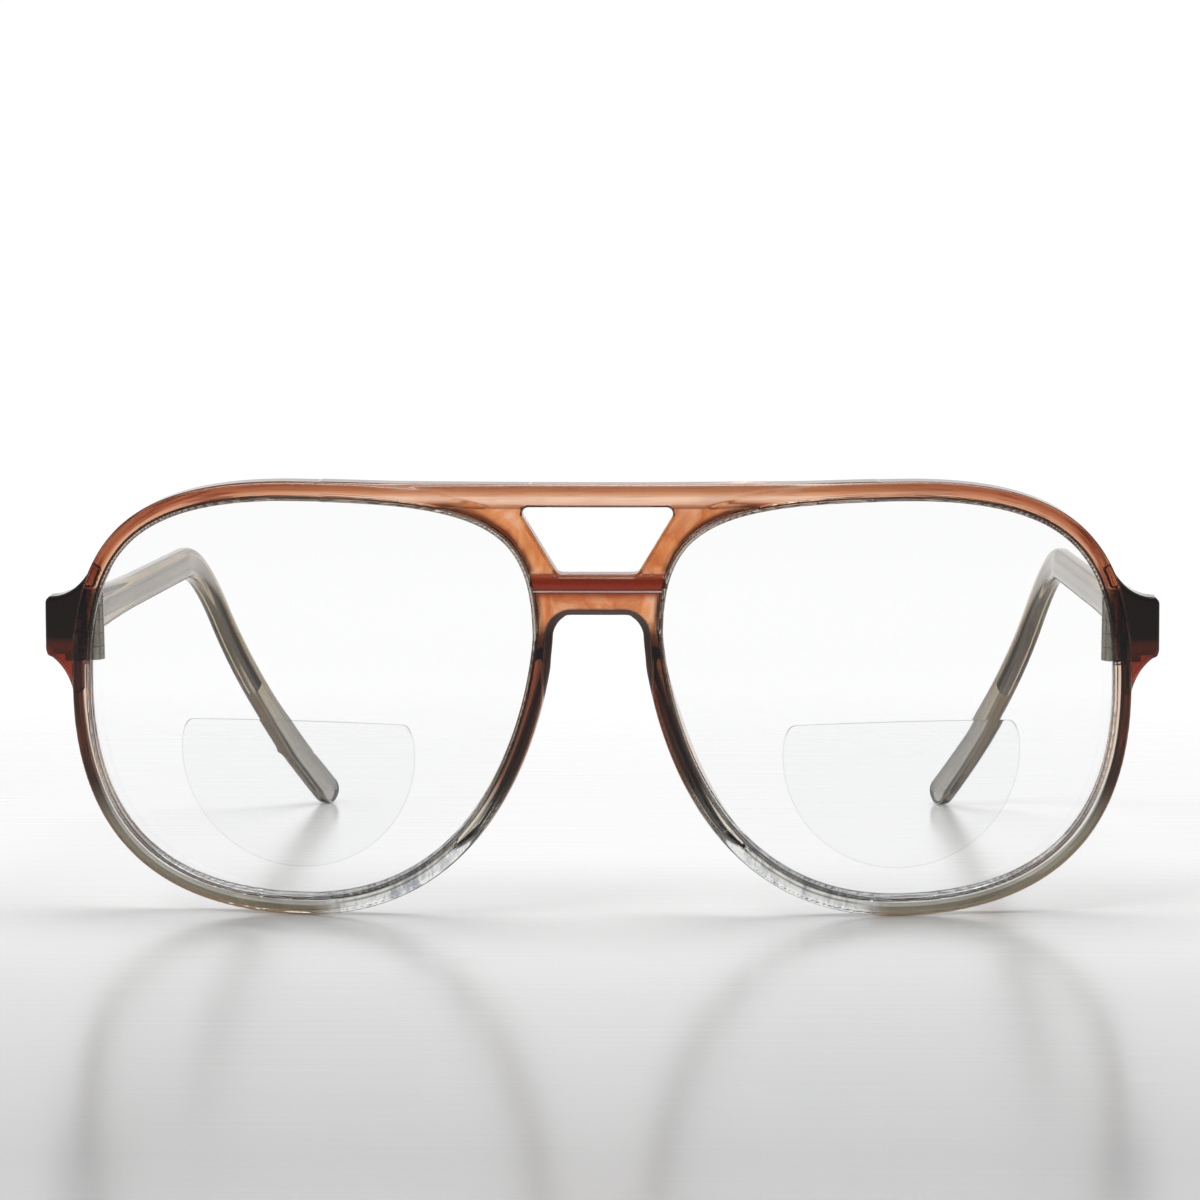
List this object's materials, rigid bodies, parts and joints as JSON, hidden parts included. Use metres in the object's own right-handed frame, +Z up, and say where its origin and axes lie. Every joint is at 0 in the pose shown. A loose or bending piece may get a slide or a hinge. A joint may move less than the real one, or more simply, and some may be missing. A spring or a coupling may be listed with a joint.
{
  "type": "bifocal reading glasses",
  "caption": "Plastic aviator-shaped reading glasses with a double bridge, moulded nose pads, flat-top bifocal lenses, cored temples and folding hinges.",
  "frame": {"origin": "centre of the footprint of the open glasses, on the surface that they stand on", "axes": "+Z up, the front faces -Y, the open temples run back along +Y, and +X is the wearer's left"},
  "size_m": [0.1424, 0.1448, 0.0556],
  "materials": {
    "front_plastic": "translucent copper brown, fading to smoky clear at the foot of the rims, polished",
    "lens": "clear, polished",
    "temple_plastic": "translucent smoky olive grey, polished",
    "wire": "drawn wire, dull",
    "hinge_metal": "nickel silver, satin",
    "screw": "bright"
  },
  "bodies": {
    "front": {"front_frame": "front_plastic", "lens_left": "lens", "lens_right": "lens", "front_hinge_leaf_left": "hinge_metal", "front_hinge_leaf_right": "hinge_metal", "hinge_screw_left": "screw", "hinge_screw_right": "screw"},
    "left_temple": {"temple_left": "temple_plastic", "core_wire_left": "wire", "temple_hinge_leaf_left": "hinge_metal"},
    "right_temple": {"temple_right": "temple_plastic", "core_wire_right": "wire", "temple_hinge_leaf_right": "hinge_metal"}
  },
  "joints": [
    {"name": "fold_left", "type": "hinge", "parent": "front", "child": "left_temple", "pos_m": [0.0652, -0.05832, 0.03672], "axis": [0, -0.1045, 0.9945], "range_deg": [0, 86]},
    {"name": "fold_right", "type": "hinge", "parent": "front", "child": "right_temple", "pos_m": [-0.0652, -0.05832, 0.03672], "axis": [0, 0.1045, -0.9945], "range_deg": [0, 79]}
  ]
}
